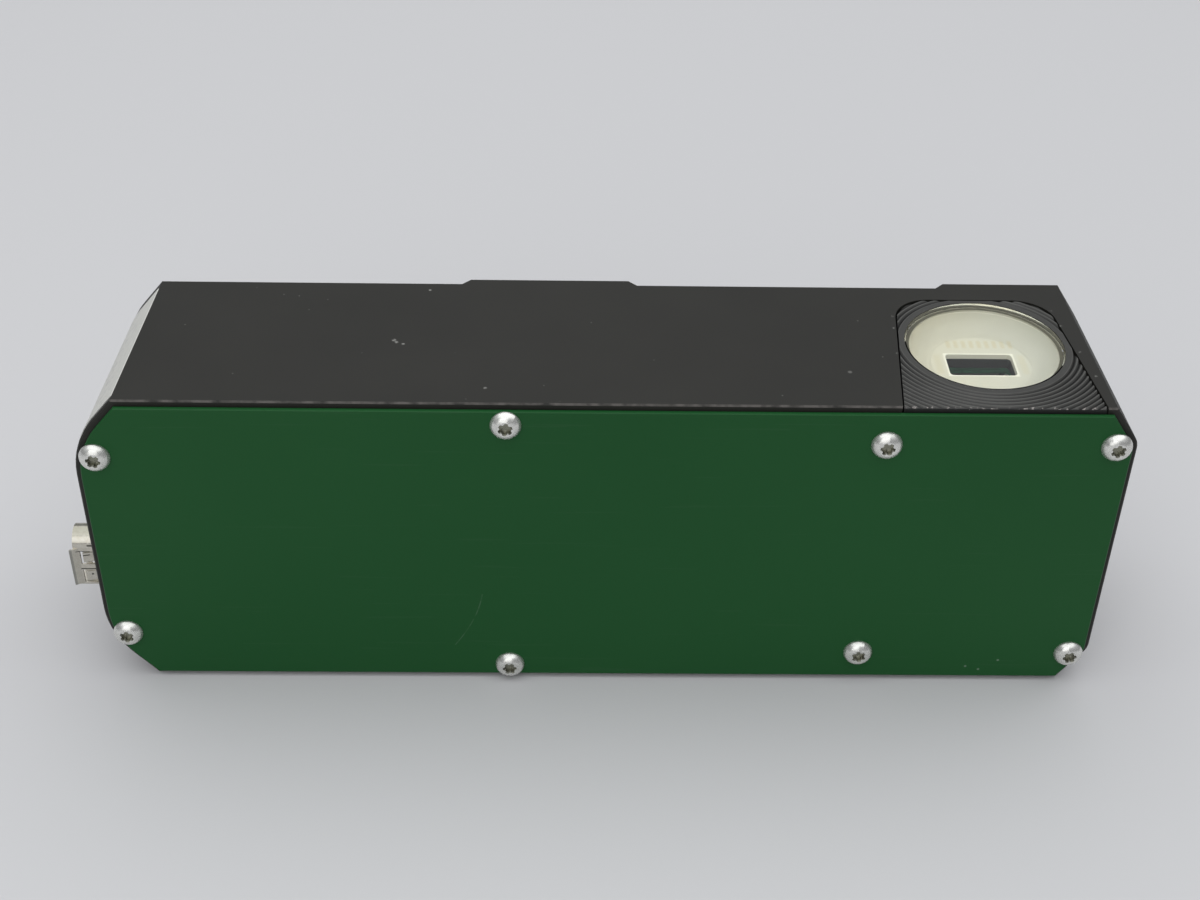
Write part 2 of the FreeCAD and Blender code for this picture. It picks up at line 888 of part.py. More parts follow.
def lens_barrel():
    """Turned barrel with a wider head, bored through and counterbored for its glasses."""
    head = rod(lens_x, window_y, axis_z, lens_head_radius, lens_head_length, -ALONG)
    body = rod(lens_x, window_y, axis_z, lens_radius, lens_length, -ALONG)
    barrel = head.fuse(body).removeSplitter()
    seat = lens_glass_radius + fit_gap
    seat_reach = lens_glass_depth + lens_glass_edge + overrun
    cuts = [
        rod(lens_x + overrun, window_y, axis_z, seat, seat_reach, -ALONG),
        rod(lens_x + overrun, window_y, axis_z, lens_bore_radius, lens_length + 2 * overrun, -ALONG),
        rod(lens_x - lens_length - overrun, window_y, axis_z, seat, seat_reach, ALONG),
    ]
    mouth = Part.makeCone(seat, seat + lens_glass_depth, lens_glass_depth,
                          point(lens_x - lens_glass_depth, window_y, axis_z), ALONG)
    return barrel.cut(cuts + [mouth])


def lens_glasses():
    """Front and rear glass, each flat inside and domed outside."""
    glasses = []
    sphere_radius = (lens_glass_radius ** 2 + lens_glass_sag ** 2) / (2 * lens_glass_sag)
    places = [
        (lens_x - lens_glass_depth - lens_glass_edge, ALONG),
        (lens_x - lens_length + lens_glass_depth + lens_glass_edge, -ALONG),
    ]
    for x, direction in places:
        start = point(x, window_y, axis_z)
        blank = Part.makeCylinder(lens_glass_radius, lens_glass_edge + lens_glass_sag, start, direction)
        centre = start + direction * (lens_glass_edge + lens_glass_sag - sphere_radius)
        glasses.append(blank.common(Part.makeSphere(sphere_radius, centre)))
    return Part.makeCompound(glasses)


def lens_lock_screw():
    """Set screw in the pillow block that holds the focused barrel still."""
    x = pillow_x - pillow_width / 2
    start = window_y - bench_front_reach
    reach = bench_front_reach - lens_radius
    screw = rod(x, start, axis_z, lock_screw_radius, reach, BACKWARD)
    return screw.cut(rod(x, start, axis_z, lock_screw_radius / 2, reach / 2, BACKWARD))


def sensor_board():
    half_width = sensor_board_width / 2
    half_height = sensor_board_height / 2
    board = box(sensor_board_x - board_thickness, window_y - half_width, axis_z - half_height,
                sensor_board_x, window_y + half_width, axis_z + half_height)
    holes = []
    for y, z in post_places():
        holes.append(rod(sensor_board_x + overrun, y, z, small_screw_radius + fit_gap,
                         board_thickness + 2 * overrun, -ALONG))
    return board.cut(holes)


def sensor_board_screws():
    screws = []
    for y, z in post_places():
        screws.append(small_screw(sensor_board_x - board_thickness, y, z, ALONG,
                                  board_thickness + post_length - 2 * blind_end))
    return Part.makeCompound(screws)


def image_sensor():
    half = sensor_side / 2
    return box(sensor_board_x, window_y - half, axis_z - half,
               sensor_board_x + sensor_height, window_y + half, axis_z + half)


def sensor_glass():
    half = sensor_glass_side / 2
    face = sensor_board_x + sensor_height
    return box(face, window_y - half, axis_z - half,
               face + sensor_glass_height, window_y + half, axis_z + half)


def bench_screws():
    screws = []
    for x, z in bench_screw_places():
        screws.append(small_screw(x, bench_face, z, BACKWARD, bench_thickness + wall_screw_reach))
    return Part.makeCompound(screws)


def tail_places():
    """Where the six contact tails meet the board, three from each face of the tongue."""
    places = []
    for index in range(contacts_a_side):
        z = socket_middle_z + (index - (contacts_a_side - 1) / 2) * contact_pitch
        places.append((socket_inner + tail_gap, z, 1))
        places.append((socket_inner + tail_gap + tail_pitch, z, -1))
    return places


def leg_places():
    """The socket shell's four solder legs, two on its flat foot and two on its round top."""
    places = []
    for x in (board_left + leg_inset, socket_inner - leg_width - leg_inset):
        places.append((x, socket_low))
        places.append((x, socket_low + socket_span - socket_sheet))
    return places


def main_board():
    """Main circuit board, notched at its left corners to clear two cover screw bosses."""
    board = box(board_left, board_front, board_low, board_right, board_back, board_high)
    notch_high = left_screw_edge + boss_radius + notch_gap - board_low
    cuts = [
        box(board_left - overrun, board_front - overrun, board_low - overrun,
            board_left + board_notch, board_back + overrun, board_low + notch_high),
        box(board_left - overrun, board_front - overrun, board_high - notch_high,
            board_left + board_notch, board_back + overrun, board_high + overrun),
    ]
    for x, z in main_board_pillars():
        cuts.append(rod(x, board_front - overrun, z, small_screw_radius + fit_gap,
                        board_thickness + 2 * overrun, BACKWARD))
    half = contact_width / 2 + fit_gap
    for x, z, side in tail_places():
        cuts.append(box(x - fit_gap, board_front - overrun, z - half,
                        x + contact_thickness + fit_gap, board_back + overrun, z + half))
    for x, z in leg_places():
        cuts.append(box(x - fit_gap, board_front - overrun, z - fit_gap,
                        x + leg_width + fit_gap, board_back + overrun, z + socket_sheet + fit_gap))
    return board.cut(cuts)


def main_board_screws():
    screws = []
    for x, z in main_board_pillars():
        screws.append(small_screw(x, board_front, z, BACKWARD, board_thickness + pillar_screw_reach))
    return Part.makeCompound(screws)


def processor_chip():
    x, z = chip_centre()
    half = chip_side / 2
    return box(x - half, board_back, z - half, x + half, board_back + chip_height, z + half)


def thermal_pad():
    x, z = chip_centre()
    half = chip_side / 2 - thermal_pad_margin
    start = board_back + chip_height
    return box(x - half, start, z - half, x + half, start + thermal_pad_height, z + half)


def memory_chips():
    """Four memory chips on the front of the board, opposite the processor."""
    x, z = chip_centre()
    chips = []
    for column in (-0.5, 0.5):
        for row in (-0.5, 0.5):
            middle_x = x + column * memory_pitch
            middle_z = z + row * memory_pitch
            chips.append(box(middle_x - memory_length / 2, board_front - memory_height,
                             middle_z - memory_width / 2, middle_x + memory_length / 2,
                             board_front, middle_z + memory_width / 2))
    return Part.makeCompound(chips)


def memory_left():
    x, z = chip_centre()
    return x - (memory_pitch + memory_length) / 2


def capacitor_places():
    last = memory_left() - memory_clear - capacitor_radius
    places = []
    for index in range(capacitor_count):
        x = last - (capacitor_count - 1 - index) * capacitor_pitch
        places.append((x, board_high - capacitor_from_top))
    return places


def board_capacitors():
    """Three can capacitors on square plastic bases."""
    cans = []
    for x, z in capacitor_places():
        half = capacitor_radius + capacitor_margin
        base = box(x - half, board_front - capacitor_base, z - half, x + half, board_front, z + half)
        can = rod(x, board_front - capacitor_base, z, capacitor_radius,
                  capacitor_height - capacitor_base, -BACKWARD)
        cans.append(base.fuse(can).removeSplitter())
    return Part.makeCompound(cans)


def power_inductors():
    """Two shielded inductors below the capacitors, with rounded corners."""
    coils = []
    last = memory_left() - memory_clear - inductor_side / 2
    for index in range(inductor_count):
        x = last - (inductor_count - 1 - index) * inductor_pitch
        z = board_low + inductor_from_foot
        half = inductor_side / 2
        corners = [
            point(x - half, board_front, z - half),
            point(x + half, board_front, z - half),
            point(x + half, board_front, z + half),
            point(x - half, board_front, z + half),
        ]
        wire = rounded_wire(corners, [inductor_corner] * len(corners))
        coils.append(prism(wire, -BACKWARD * inductor_height))
    return Part.makeCompound(coils)


def board_headers():
    """Ribbon headers, one on the back of the main board and one on the sensor board."""
    half = header_length / 2
    main_face = ribbon_header_face
    main = box(main_face - header_width, board_back, axis_z - half,
               main_face, board_back + header_height, axis_z + half)
    slot = ribbon_width / 2 + fit_gap
    middle = board_back + header_height / 2
    gap = ribbon_thickness / 2 + fit_gap / 2
    main = main.cut(box(main_face - ribbon_seat, middle - gap, axis_z - slot,
                        main_face + overrun, middle + gap, axis_z + slot))
    face = sensor_board_x - board_thickness
    sensor = box(face - header_width, window_y - header_height / 2, axis_z - half,
                 face, window_y + header_height / 2, axis_z + half)
    sensor = sensor.cut(box(face - header_width - overrun, window_y - gap, axis_z - slot,
                            face - header_width + ribbon_seat, window_y + gap, axis_z + slot))
    return Part.makeCompound([main, sensor])


def sensor_ribbon():
    """Flat flexible cable in one gentle S bend between the two headers."""
    start_x = ribbon_header_face - ribbon_seat + fit_gap
    start_y = board_back + header_height / 2
    end_x = sensor_board_x - board_thickness - header_width + ribbon_seat - fit_gap
    end_y = window_y
    middle_x = (start_x + end_x) / 2
    half = ribbon_thickness / 2
    low = axis_z - ribbon_width / 2
    turn = ribbon_bend
    corners = [
        point(start_x, start_y - half, low),
        point(middle_x - turn / 2, start_y - half, low),
        point(middle_x + turn / 2, end_y - half, low),
        point(end_x, end_y - half, low),
        point(end_x, end_y + half, low),
        point(middle_x + turn / 2, end_y + half, low),
        point(middle_x - turn / 2, start_y + half, low),
        point(start_x, start_y + half, low),
    ]
    return prism(rounded_wire(corners, [0, turn, turn, 0, 0, turn, turn, 0]), UP * ribbon_width)


def main_plug_mouth():
    """Where the lead enters the plug on the main board."""
    x = board_right - 2 * board_pillar_radius - main_plug_gap
    return x, board_front - plug_height / 2, axis_z + plug_side


def light_plug_mouth():
    """Where the lead enters the plug under the light board, just below the block's ledge."""
    z = light_board_low - plug_height + lead_radius + fit_gap
    return block_x - light_plug_x - plug_side / 2, window_y - light_plug_y, z


def power_plugs():
    """Two wire plugs: one on the main board's front, one under the light board."""
    half = plug_side / 2
    x, y, z = main_plug_mouth()
    main = box(x - plug_side, board_front - plug_height, z - half, x, board_front, z + half)
    x, y, z = light_plug_mouth()
    light = box(x, y - half, light_board_low - plug_height, x + plug_side, y + half, light_board_low)
    return Part.makeCompound([main, light])


def light_lead():
    """Two-core lead from the light board's plug, past the lens, to the main board's plug."""
    start = point(*light_plug_mouth())
    end = point(*main_plug_mouth())
    span = start.x - end.x
    pillow_clear = window_y - bench_front_reach - lead_clear
    route = [
        start,
        start - ALONG * (lead_straight_share * span),
        point(start.x - lead_out_share * span, pillow_clear, start.z - lead_out_drop),
        point(start.x - lead_in_share * span, pillow_clear, start.z - lead_in_drop),
        end + ALONG * (lead_straight_share * span),
        end,
    ]
    path = bent_path(route)
    section = Part.Wire(Part.makeCircle(lead_radius, start, -ALONG))
    return path.makePipeShell([section], True, True)


def bent_path(route):
    """Straight runs joined by tangent arcs, each as large as its two runs allow."""
    edges = []
    last = route[0]
    for index in range(1, len(route) - 1):
        corner = route[index]
        before = route[index - 1] - corner
        after = route[index + 1] - corner
        half = before.getAngle(after) / 2
        reach = lead_bend_share * min(before.Length, after.Length)
        radius = reach * math.tan(half)
        first = corner + unit(before) * reach
        second = corner + unit(after) * reach
        inward = unit(unit(before) + unit(after))
        middle = corner + inward * (radius / math.sin(half) - radius)
        edges.append(Part.LineSegment(last, first).toShape())
        edges.append(Part.Arc(first, middle, second).toShape())
        last = second
    edges.append(Part.LineSegment(last, route[-1]).toShape())
    return Part.Wire(edges)


def spring_places():
    """Middle heights of the two spring fingers on each wide side of the shell."""
    middle = socket_low + (socket_span - socket_round) / 2
    return [middle - spring_pitch / 2, middle + spring_pitch / 2]


def spring_finger(z, side):
    """Finger cut from the shell's wide side and bowed inwards to grip a plug."""
    face = socket_middle_y + side * socket_round
    inward = -side
    middle_x = (spring_end + spring_tip) / 2
    sheet = socket_sheet * inward
    bow = spring_bow * inward
    low = z - spring_width / 2
    corners = [
        point(spring_end + spring_root, face, low),
        point(spring_end, face, low),
        point(middle_x, face + bow, low),
        point(spring_tip + spring_slot, face, low),
        point(spring_tip + spring_slot, face + sheet, low),
        point(middle_x, face + bow + sheet, low),
        point(spring_end, face + sheet, low),
        point(spring_end + spring_root, face + sheet, low),
    ]
    return prism(Part.makePolygon(corners + [corners[0]]), UP * spring_width)


def socket_shell():
    """Drawn sheet shell with flared lips, spring fingers in slots, and solder legs."""
    outer = prism(socket_profile(0, socket_mouth), ALONG * (socket_inner - socket_mouth))
    inner = prism(socket_profile(-socket_sheet, socket_mouth - overrun),
                  ALONG * (socket_inner - socket_mouth + 2 * overrun))
    shell = outer.cut(inner)
    windows = []
    fingers = []
    for side in (-1, 1):
        face = socket_middle_y + side * socket_round
        for z in spring_places():
            reach = spring_width / 2 + spring_slot
            windows.append(box(spring_tip, face - 2 * socket_sheet, z - reach,
                               spring_end, face + 2 * socket_sheet, z + reach))
            fingers.append(spring_finger(z, side))
    flares = []
    flare_low = socket_low + socket_foot
    straight_high = socket_low + socket_span - socket_round
    root = socket_mouth + flare_root
    for side in (-1, 1):
        face = socket_middle_y + side * socket_round
        inside = face - socket_sheet * side
        spread = flare_spread * side
        windows.append(box(socket_mouth - overrun, min(face, inside), flare_low,
                           root, max(face, inside), straight_high))
        corners = [
            point(root, inside, flare_low),
            point(root, face, flare_low),
            point(socket_mouth - flare_past_mouth, face + spread, flare_low),
            point(socket_mouth - flare_past_mouth, inside + spread, flare_low),
        ]
        flare = prism(Part.makePolygon(corners + [corners[0]]), UP * (straight_high - flare_low))
        flares.append(flare)
    shell = shell.cut(windows)
    legs = []
    for x, z in leg_places():
        legs.append(box(x, socket_middle_y, z, x + leg_width, board_back + leg_extra, z + socket_sheet))
    return join(shell, fingers + flares + legs)


def contact(x, z, side):
    """One contact: a blade along the tongue, a shank through the insulator and a tail to the board."""
    tongue_face = socket_middle_y + side * tongue_thickness / 2
    sheet = contact_thickness
    low_y = tongue_face - sheet if side > 0 else tongue_face
    high_y = low_y + sheet
    start = socket_mouth + tongue_recess + contact_from_tip
    blade = box(start, low_y, z - contact_width / 2, x + sheet, high_y, z + contact_width / 2)
    tail = box(x, low_y, z - contact_width / 2, x + sheet, board_back + leg_extra, z + contact_width / 2)
    return blade.fuse(tail).removeSplitter()


def socket_contacts():
    return Part.makeCompound([contact(x, z, side) for x, z, side in tail_places()])


def socket_insulator():
    """Moulded block that fills the shell's inner end, with a tongue towards the mouth."""
    body_start = socket_inner - insulator_length
    gap = socket_sheet + fit_gap
    body = prism(socket_profile(-gap, body_start), ALONG * (socket_inner - body_start))
    half_tongue = tongue_thickness / 2
    tongue = box(socket_mouth + tongue_recess, socket_middle_y - half_tongue,
                 socket_middle_z - tongue_span / 2, body_start + overrun,
                 socket_middle_y + half_tongue, socket_middle_z + tongue_span / 2)
    insulator = join(body, [tongue])
    return insulator.cut([contact(x, z, side) for x, z, side in tail_places()])


def end_label():
    """Blank film label that wraps the upper left corner on to the end."""
    skin = drafted_body(-label_thickness).cut(drafted_body(0))
    field = box(left - overrun, front + label_front, label_low,
                block_x, front + label_front + label_length, height - label_crease_gap)
    return skin.common(field)


nodes = {
    "housing": housing,
    "side_cover": side_cover,
    "cover_gasket": cover_gasket,
    "cover_screws": cover_screws,
    "light_block": light_block,
    "block_screws": block_screws,
    "window_disc": window_disc,
    "window_seal": window_seal,
    "diffuser_dish": diffuser_dish,
    "light_board": light_board,
    "light_leds": light_leds,
    "optics_bench": optics_bench,
    "bench_screws": bench_screws,
    "fold_mirror": fold_mirror,
    "mirror_clip": mirror_clip,
    "lens_barrel": lens_barrel,
    "lens_glasses": lens_glasses,
    "lens_lock_screw": lens_lock_screw,
    "sensor_board": sensor_board,
    "sensor_board_screws": sensor_board_screws,
    "image_sensor": image_sensor,
    "sensor_glass": sensor_glass,
    "main_board": main_board,
    "main_board_screws": main_board_screws,
    "processor_chip": processor_chip,
    "thermal_pad": thermal_pad,
    "memory_chips": memory_chips,
    "board_capacitors": board_capacitors,
    "power_inductors": power_inductors,
    "board_headers": board_headers,
    "sensor_ribbon": sensor_ribbon,
    "power_plugs": power_plugs,
    "light_lead": light_lead,
    "socket_shell": socket_shell,
    "socket_insulator": socket_insulator,
    "socket_contacts": socket_contacts,
    "end_label": end_label,
}

os.makedirs("parts", exist_ok=True)
for name, make in nodes.items():
    shape = make()
    shape.exportStep("parts/" + name + ".step")
    print(name, "solids", len(shape.Solids), "valid", shape.isValid(), "volume", round(shape.Volume, 1))
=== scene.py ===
import math

import bpy
from mathutils import Matrix, Vector


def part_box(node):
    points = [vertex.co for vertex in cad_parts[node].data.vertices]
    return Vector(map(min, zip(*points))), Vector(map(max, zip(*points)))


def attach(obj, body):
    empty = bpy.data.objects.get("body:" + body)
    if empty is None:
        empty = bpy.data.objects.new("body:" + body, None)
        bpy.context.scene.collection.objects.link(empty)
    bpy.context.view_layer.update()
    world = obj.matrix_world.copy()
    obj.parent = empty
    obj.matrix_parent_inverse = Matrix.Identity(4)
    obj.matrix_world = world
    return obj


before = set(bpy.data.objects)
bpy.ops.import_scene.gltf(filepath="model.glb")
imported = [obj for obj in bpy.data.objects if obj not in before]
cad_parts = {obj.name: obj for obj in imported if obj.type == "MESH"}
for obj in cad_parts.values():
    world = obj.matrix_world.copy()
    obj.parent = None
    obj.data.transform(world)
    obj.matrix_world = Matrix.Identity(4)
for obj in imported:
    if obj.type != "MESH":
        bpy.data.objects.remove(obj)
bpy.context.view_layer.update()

# Housing
# A long tub milled from one aluminium block and hard anodised black over a fine bead-blasted
# grain. It rests on one long face, and its rim, pads and chamfers are bare of any marking.


class Wire:
    """A value in a finish. Sums with it add the Math nodes that work them out."""

    def __init__(self, finish, socket):
        self.finish = finish
        self.socket = socket

    def joined(self, operation, first, second):
        return self.finish.add("ShaderNodeMath", {"operation": operation}, {0: first, 1: second})

    def __add__(self, other):
        return self.joined("ADD", self, other)

    def __radd__(self, other):
        return self.joined("ADD", other, self)

    def __sub__(self, other):
        return self.joined("SUBTRACT", self, other)

    def __rsub__(self, other):
        return self.joined("SUBTRACT", other, self)

    def __mul__(self, other):
        return self.joined("MULTIPLY", self, other)

    def __rmul__(self, other):
        return self.joined("MULTIPLY", other, self)

    def __truediv__(self, other):
        return self.joined("DIVIDE", self, other)

    def __pow__(self, other):
        return self.joined("POWER", self, other)

    def within(self, low, high):
        """0 at the low value and 1 at the high one, held there beyond them."""
        return self.finish.add("ShaderNodeMapRange", {"clamp": True}, {
            "Value": self, "From Min": low, "From Max": high})

    def off(self, centre):
        """Distance from a centre, always positive."""
        return self.finish.add("ShaderNodeMath", {"operation": "ABSOLUTE"}, {0: self - centre})

    def every(self, pitch):
        """Distance to the nearest whole number of pitches."""
        return self.joined("PINGPONG", self + 1000 * pitch, pitch / 2)

    def __gt__(self, other):
        return self.joined("GREATER_THAN", self, other)

    def __lt__(self, other):
        return self.joined("LESS_THAN", self, other)


class Finish:
    """One procedural surface finish, in millimetres on the object's own coordinates."""

    def __init__(self, name, metallic=0.0, **constants):
        self.material = bpy.data.materials.new(name)
        self.material.use_nodes = True
        self.tree = self.material.node_tree
        self.shader = self.tree.nodes["Principled BSDF"]
        self.shader.inputs["Metallic"].default_value = metallic
        for socket, value in constants.items():
            label = socket.replace("_", " ").title().replace("Ior", "IOR")
            self.shader.inputs[label].default_value = value
        coordinates = self.add("ShaderNodeTexCoord", {}, {}, "Object")
        self.place = self.add("ShaderNodeMapping", {}, {"Vector": coordinates, "Scale": (1000, 1000, 1000)})
        split = self.add("ShaderNodeSeparateXYZ", {}, {"Vector": self.place})
        outputs = split.socket.node.outputs
        self.x, self.y, self.z = (Wire(self, outputs[axis]) for axis in "XYZ")

    def add(self, kind, settings, inputs, output=0):
        """One node of a kind, with its settings made first and its sockets filled after them."""
        node = self.tree.nodes.new(kind)
        for name, value in settings.items():
            if name == "stops":
                ramp = node.color_ramp.elements
                while len(ramp) < len(value):
                    ramp.new(1.0)
                for stop, (position, shade) in zip(ramp, value):
                    stop.position = position
                    stop.color = (shade, shade, shade, 1)
            else:
                setattr(node, name, value)
        for name, value in inputs.items():
            if isinstance(value, Wire):
                self.tree.links.new(value.socket, node.inputs[name])
            else:
                node.inputs[name].default_value = value
        return Wire(self, node.outputs[output])

    def noise(self, scale, detail=2.0, stretch=(1, 1, 1), turn=0.0):
        """Cloudy noise from 0 to 1, with its scale in cycles a millimetre."""
        place = self.add("ShaderNodeMapping", {}, {
            "Vector": self.place, "Scale": stretch, "Rotation": (0, turn, 0)})
        return self.add("ShaderNodeTexNoise", {}, {"Vector": place, "Scale": scale, "Detail": detail})

    def ramp(self, value, *stops):
        """A grey ramp through stops of a position and a shade."""
        return self.add("ShaderNodeValToRGB", {"stops": stops}, {"Fac": value})

    def blend(self, mask, first, second):
        """The first colour where the mask is 0 and the second where it is 1."""
        return self.add("ShaderNodeMix", {"data_type": "RGBA"}, {0: mask, 6: first, 7: second}, 2)

    def specks(self, scale, radius, share):
        """Round specks, on a share of the cells of a grid."""
        cells = self.add("ShaderNodeTexVoronoi", {}, {"Vector": self.place, "Scale": scale})
        node = cells.socket.node
        picked = self.add("ShaderNodeSeparateColor", {}, {"Color": Wire(self, node.outputs["Color"])})
        return (cells < radius) * (picked < share)

    def greater(self, first, second):
        """The greater of two values at each place."""
        return self.add("ShaderNodeMath", {"operation": "MAXIMUM"}, {0: first, 1: second})

    def spot(self, x, y, radius):
        """A round spot with a soft edge, seen along Z."""
        squares = (self.x - x) * (self.x - x) + (self.y - y) * (self.y - y)
        return squares.within(radius ** 2, (radius * 0.5) ** 2)

    def use(self, colour, roughness, bump=None, depth=0.02):
        """Feeds the shader and gives its material. The depth of the bump is in millimetres."""
        for name, value in (("Base Color", colour), ("Roughness", roughness)):
            if isinstance(value, Wire):
                self.tree.links.new(value.socket, self.shader.inputs[name])
            else:
                self.shader.inputs[name].default_value = value
        if bump is not None:
            normal = self.add("ShaderNodeBump", {}, {"Height": bump, "Distance": depth / 1000})
            self.tree.links.new(normal.socket, self.shader.inputs["Normal"])
        return self.material


def dress(finish, *nodes):
    """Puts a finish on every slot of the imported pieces."""
    for node in nodes:
        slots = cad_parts[node].data.materials
        for index in range(len(slots)):
            slots[index] = finish


anodised = Finish("hard anodised grain", specular_ior_level=0.3)
grain = anodised.noise(5.0, 3.0)
clouds = anodised.noise(0.05, 2.0)
tone = anodised.ramp(grain * 0.7 + clouds * 0.3, (0.3, 0.0), (0.7, 1.0))
skin = anodised.blend(tone, (0.0115, 0.0115, 0.0095, 1), (0.0210, 0.0205, 0.0170, 1))
dust = anodised.specks(0.35, 0.05, 0.16)
skin = anodised.blend(dust * 0.7, skin, (0.16, 0.165, 0.15, 1))
top_face = 66.2
rim_front = -20.28
rim_low = 65.88
rim = (anodised.y < rim_front) * (anodised.z > rim_low)
skin = anodised.blend(rim * anodised.noise(0.5).within(0.3, 0.6), skin, (0.085, 0.078, 0.072, 1))
faint_mark = (44.95, -9.49, 0.5)
scuffs = ((-39.8, 0.0, 0.5), (-39.3, -0.7, 0.45), (-38.0, -1.3, 0.4),
          (-22.0, -15.7, 0.4), (-34.3, 18.2, 0.35))
seam_crumbs = ((55.6, 10.1), (55.3, 5.8), (54.6, -3.0), (86.9, 12.5),
               (87.7, 7.1), (89.3, -2.1), (90.4, -10.2))
crumb_radius = 0.36
nick = anodised.spot(*faint_mark) * 0.3
for column, row, size in scuffs:
    nick = nick + anodised.spot(column, row, size) * anodised.noise(1.8).within(0.35, 0.6) * 0.7
for column, row in seam_crumbs:
    nick = nick + anodised.spot(column, row, crumb_radius) * anodised.noise(2.6).within(0.42, 0.7) * 0.6
skin = anodised.blend(nick * (anodised.z > top_face - 0.1), skin, (0.30, 0.30, 0.28, 1))
black_skin = anodised.use(skin, 0.5 + grain * 0.14, grain, 0.012)
dress(black_skin, "housing")

# Tapped threads
# Four blind holes in the back pads are tapped for mounting screws. Each thread is cut in the
# wall of its bore in one pass and anodised with the rest of the tub.

thread_radius = 0.00155
thread_flank = 0.00022
thread_pitch = 0.0007
thread_turns = 6
thread_steps = 32
thread_reach = 0.0046
pad_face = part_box("housing")[1][1]
hole_x = -0.01085
hole_z = 0.0131
first_hole = Vector((hole_x, pad_face - thread_reach, hole_z))
hole_spacing_x = 0.090
hole_spacing_z = 0.040
for column in range(2):
    for row in range(2):
        bpy.ops.object.select_all(action="DESELECT")
        bpy.ops.mesh.primitive_circle_add(vertices=3, radius=thread_flank, fill_type="NOTHING",
                                          location=(thread_radius, 0, 0), rotation=(0, 0, math.radians(90)))
        thread = bpy.context.object
        thread.name = "thread_%d_%d" % (column + 1, row + 1)
        bpy.ops.object.transform_apply(location=True, rotation=True, scale=True)
        helix = thread.modifiers.new("helix", "SCREW")
        helix.axis = "Y"
        helix.screw_offset = thread_pitch
        helix.iterations = thread_turns
        helix.steps = thread_steps
        helix.render_steps = thread_steps
        bpy.ops.object.modifier_apply(modifier="helix")
        bpy.ops.object.mode_set(mode="EDIT")
        bpy.ops.mesh.select_all(action="SELECT")
        bpy.ops.mesh.fill_holes(sides=3)
        bpy.ops.mesh.select_all(action="SELECT")
        bpy.ops.mesh.normals_make_consistent(inside=False)
        bpy.ops.object.mode_set(mode="OBJECT")
        thread.location = first_hole + Vector((column * hole_spacing_x, 0, row * hole_spacing_z))
        bpy.ops.object.transform_apply(location=True, rotation=True, scale=True)
        bpy.ops.object.shade_smooth_by_angle(angle=math.radians(40))
        thread.data.materials.append(black_skin)
        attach(thread, "root")

# Side cover
# A thin sheet cover with a satin green coat. It lies on its gasket inside the housing's rim
# and has picked up fine hairline scratches from handling.

coat = Finish("satin green coat", specular_ior_level=0.2)
peel = coat.noise(1.6, 2.0)
drift = coat.noise(0.018, 1.0)
hair = coat.noise(0.9, 1.0, (0.05, 1, 1.6), 0.7)
scratch = coat.ramp(hair, (0.70, 0.0), (0.74, 1.0))
green = coat.blend(drift, (0.0045, 0.0660, 0.0135, 1), (0.0085, 0.0770, 0.0180, 1))
green = coat.blend(scratch * 0.09, green, (0.055, 0.115, 0.065, 1))
scratch_x = -23.3
scratch_top = 22.0
scratch_middle = 15.4
scratch_half = 6.6
fallen = scratch_top - coat.z
along = coat.x - scratch_x + fallen * 0.15 + fallen * fallen * 0.021
height_mask = coat.z.off(scratch_middle) < scratch_half
rub = along.off(0).within(0.16, 0.03) * height_mask * coat.noise(0.6).within(0.35, 0.6)
chipped = rub * 0.22
edge_chips = ((75.6, 3.0), (72.9, 3.8), (79.2, 5.5))
for column, row in edge_chips:
    reach = (coat.x - column) * (coat.x - column) + (coat.z - row) * (coat.z - row)
    chipped = chipped + reach.within(0.10, 0.02) * 0.6
green = coat.blend(chipped, green, (0.20, 0.27, 0.21, 1))
dress(coat.use(green, 0.40 + peel * 0.06 + scratch * 0.05, peel, 0.01), "side_cover")

# Cover gasket, window seal and lead
# Soft black rubber, die cut for the gasket and extruded over the lead's cores. The seal is die
# cut too, and pale dust has settled on it under the window.

rubber = Finish("soft black rubber")
bloom = rubber.noise(2.5, 3.0)
dress(rubber.use(rubber.blend(bloom, (0.014, 0.014, 0.014, 1), (0.026, 0.026, 0.025, 1)),
                 0.75 + bloom * 0.12, bloom, 0.02),
      "cover_gasket", "light_lead")

dusty = Finish("dusty seal rubber")
settled = dusty.noise(1.2, 3.0)
dress(dusty.use(dusty.blend(settled, (0.40, 0.385, 0.30, 1), (0.50, 0.48, 0.38, 1)),
                0.8, settled, 0.01), "window_seal")

# Cover screws
# Eight stainless button heads with six-lobed recesses, turned bright and a little dull from
# handling. They draw the cover down on its gasket. The boards' screws are of the same steel.

stainless = Finish("turned stainless steel", metallic=0.8)
turning = stainless.noise(3.5, 2.0)
stain = stainless.noise(0.7, 2.0)
steel = stainless.blend(stain, (0.60, 0.60, 0.57, 1), (0.80, 0.80, 0.77, 1))
screw_columns = ((-92.8, 11.75), (-18.2, 3.9), (50.9, 7.6), (92.85, 7.7))
half_height = top_face / 2
head_face = -23.2
recess_floor = -22.6
recess_square = 2.1
recess = 0
for column, edge in screw_columns:
    across = stainless.x - column
    up = (stainless.z - half_height).off(0) - (half_height - edge)
    recess = recess + ((across * across + up * up) < recess_square)
# Painted shade: the six-lobed recesses are painted darker, more so deeper in.
recess_shade = recess * stainless.y.within(head_face, recess_floor)
steel = stainless.blend(recess_shade * 0.85, steel, (0.15, 0.15, 0.10, 1))
dress(stainless.use(steel, 0.20 + turning * 0.14, turning, 0.01),
      "cover_screws", "main_board_screws", "sensor_board_screws")

# Light block
# A black anodised insert whose top is turned with round grooves about the window, so that
# stray light is thrown aside. Two blackened screws through its ears hold it to the back wall.
# The lens barrel is turned and blackened alike.

